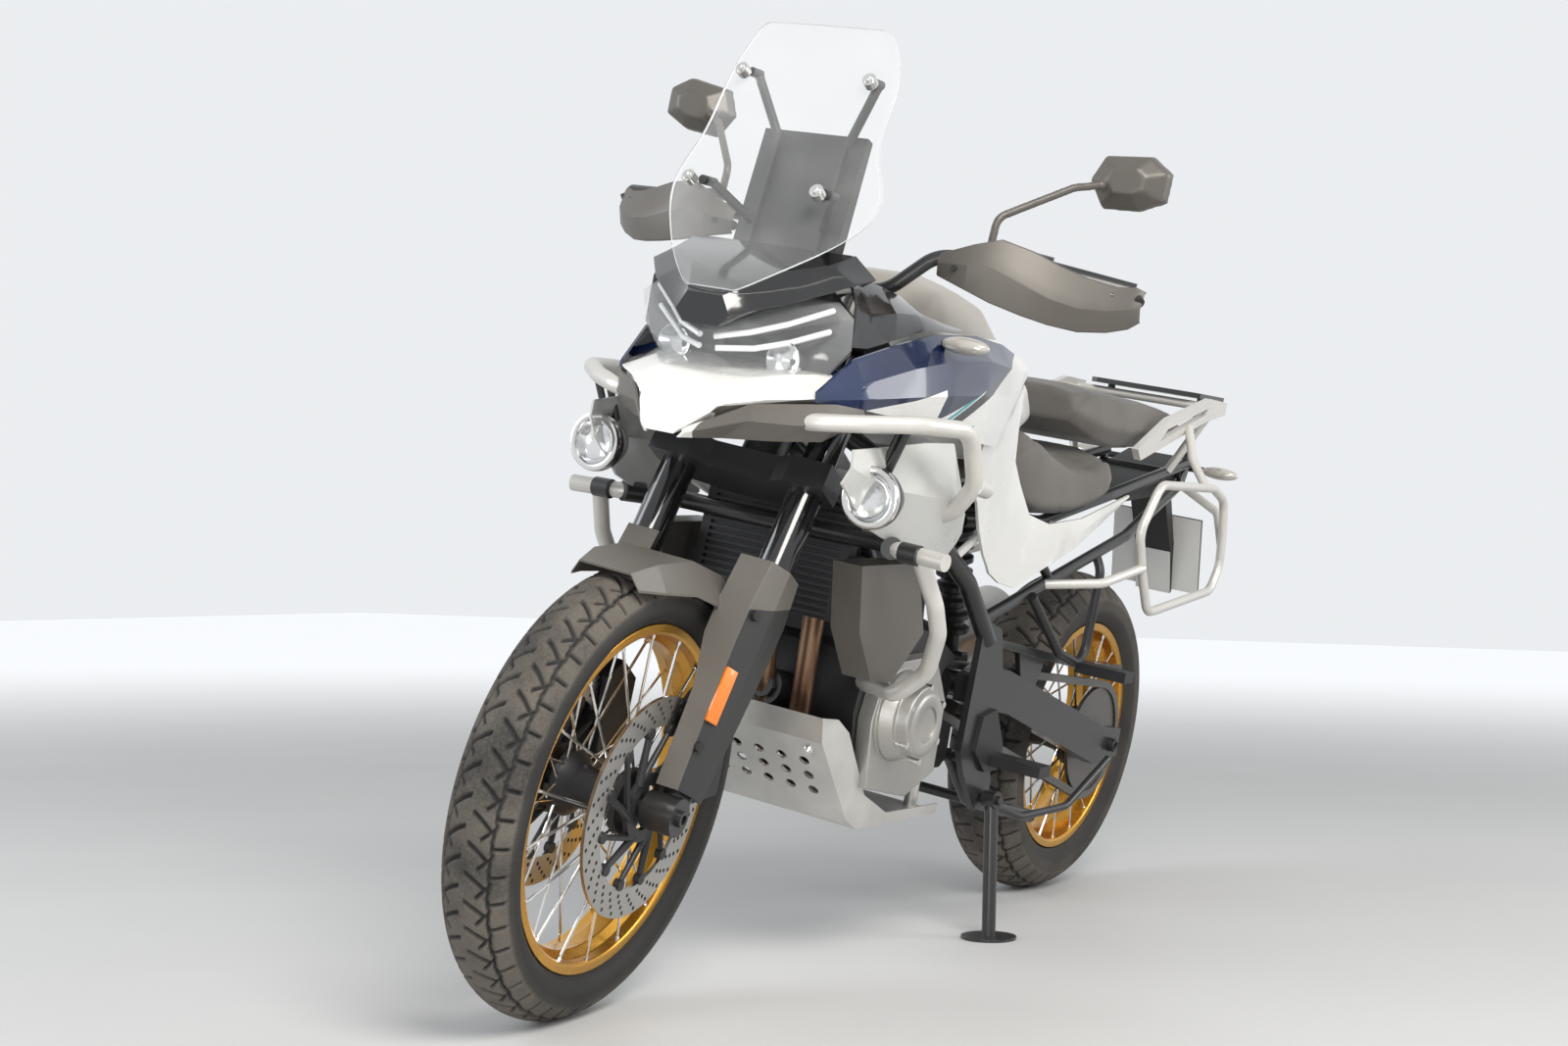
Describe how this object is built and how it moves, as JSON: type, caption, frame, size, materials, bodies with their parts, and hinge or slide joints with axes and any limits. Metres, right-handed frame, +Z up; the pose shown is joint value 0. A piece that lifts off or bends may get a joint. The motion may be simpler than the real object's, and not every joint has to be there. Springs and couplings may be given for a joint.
{
  "type": "adventure motorcycle",
  "caption": "Twin-cylinder adventure motorcycle with spoked wheels, tall screen, crash bars, fog lamps and pannier racks, leaning on its side stand.",
  "frame": {"origin": "centre of the bounding box's bottom, on the ground that both tyres and the side stand's foot stand on", "axes": "+X forward along the machine, +Y to the rider's left, +Z up; the machine leans to its left on the side stand"},
  "size_m": [2.2955, 0.9172, 1.4561],
  "materials": {
    "tyre": "matte",
    "gold_rim": "satin",
    "dark_metal": "satin",
    "steel": "brushed",
    "alloy": "satin",
    "frame_black": "gloss",
    "white": "gloss",
    "navy": "gloss",
    "titan_grey": "satin",
    "black_plastic": "matte",
    "clear": "clear",
    "seat": "textured",
    "silver_tube": "satin",
    "pipe": "heat tinted",
    "chain": "oiled",
    "amber": "gloss"
  },
  "bodies": {
    "chassis": {"main_frame": "frame_black", "drive_chain": "chain", "engine": "dark_metal", "engine_covers": "alloy", "exhaust": "pipe", "skid_plate": "alloy", "radiator": "dark_metal", "fuel_tank": "white", "rider_seat": "seat", "passenger_seat": "seat", "subframe": "frame_black", "side_covers": "white", "headlamp": "black_plastic", "side_fairings": "navy", "headlamp_lens": "clear", "cowl": "black_plastic", "windscreen": "clear", "instrument_panel": "black_plastic", "crash_bars": "silver_tube", "nose_fairing": "white", "fog_lamps": "black_plastic", "radiator_shrouds": "titan_grey", "grab_rails": "silver_tube", "rear_rack": "dark_metal", "pannier_racks": "silver_tube", "tail_unit": "black_plastic", "indicators": "amber", "rear_caliper": "dark_metal", "swingarm": "frame_black", "shock_absorber": "steel", "footpegs": "dark_metal"},
    "steering": {"fork_outer_tubes": "frame_black", "triple_clamps": "dark_metal", "fork_sliders": "alloy", "handlebar": "dark_metal", "hand_guards": "titan_grey", "mirrors": "titan_grey", "front_calipers": "dark_metal", "front_mudguard": "titan_grey"},
    "front_wheel": {"front_tyre": "tyre", "front_rim": "gold_rim", "front_hub": "dark_metal", "front_discs": "steel"},
    "rear_wheel": {"rear_tyre": "tyre", "rear_rim": "gold_rim", "rear_hub": "dark_metal", "rear_disc_sprocket": "steel"},
    "side_stand": {"side_stand": "frame_black"},
    "centre_stand": {"centre_stand": "frame_black"}
  },
  "joints": [
    {"name": "steering_turn", "type": "hinge", "parent": "chassis", "child": "steering", "pos_m": [0.49483, -0.0491, 0.87095], "axis": [-0.4373, 0.1601, 0.885], "range_deg": [-44.69, 31.31]},
    {"name": "front_wheel_spin", "type": "hinge", "parent": "steering", "child": "front_wheel", "pos_m": [0.82064, -0.1425, 0.32195], "axis": [-0.105, 0.9682, -0.227], "continuous": true},
    {"name": "rear_wheel_spin", "type": "hinge", "parent": "chassis", "child": "rear_wheel", "pos_m": [-0.71006, -0.14961, 0.31717], "axis": [-0.0002, 0.984, -0.1781], "continuous": true},
    {"name": "side_stand_fold", "type": "hinge", "parent": "chassis", "child": "side_stand", "pos_m": [-0.12516, 0.01091, 0.23758], "axis": [0.1406, 0.989, -0.0457], "range_deg": [0, 93.6]},
    {"name": "centre_stand_swing", "type": "hinge", "parent": "chassis", "child": "centre_stand", "pos_m": [-0.09005, -0.14712, 0.33017], "axis": [0.0002, -0.984, 0.1781], "range_deg": [0, 71]}
  ]
}
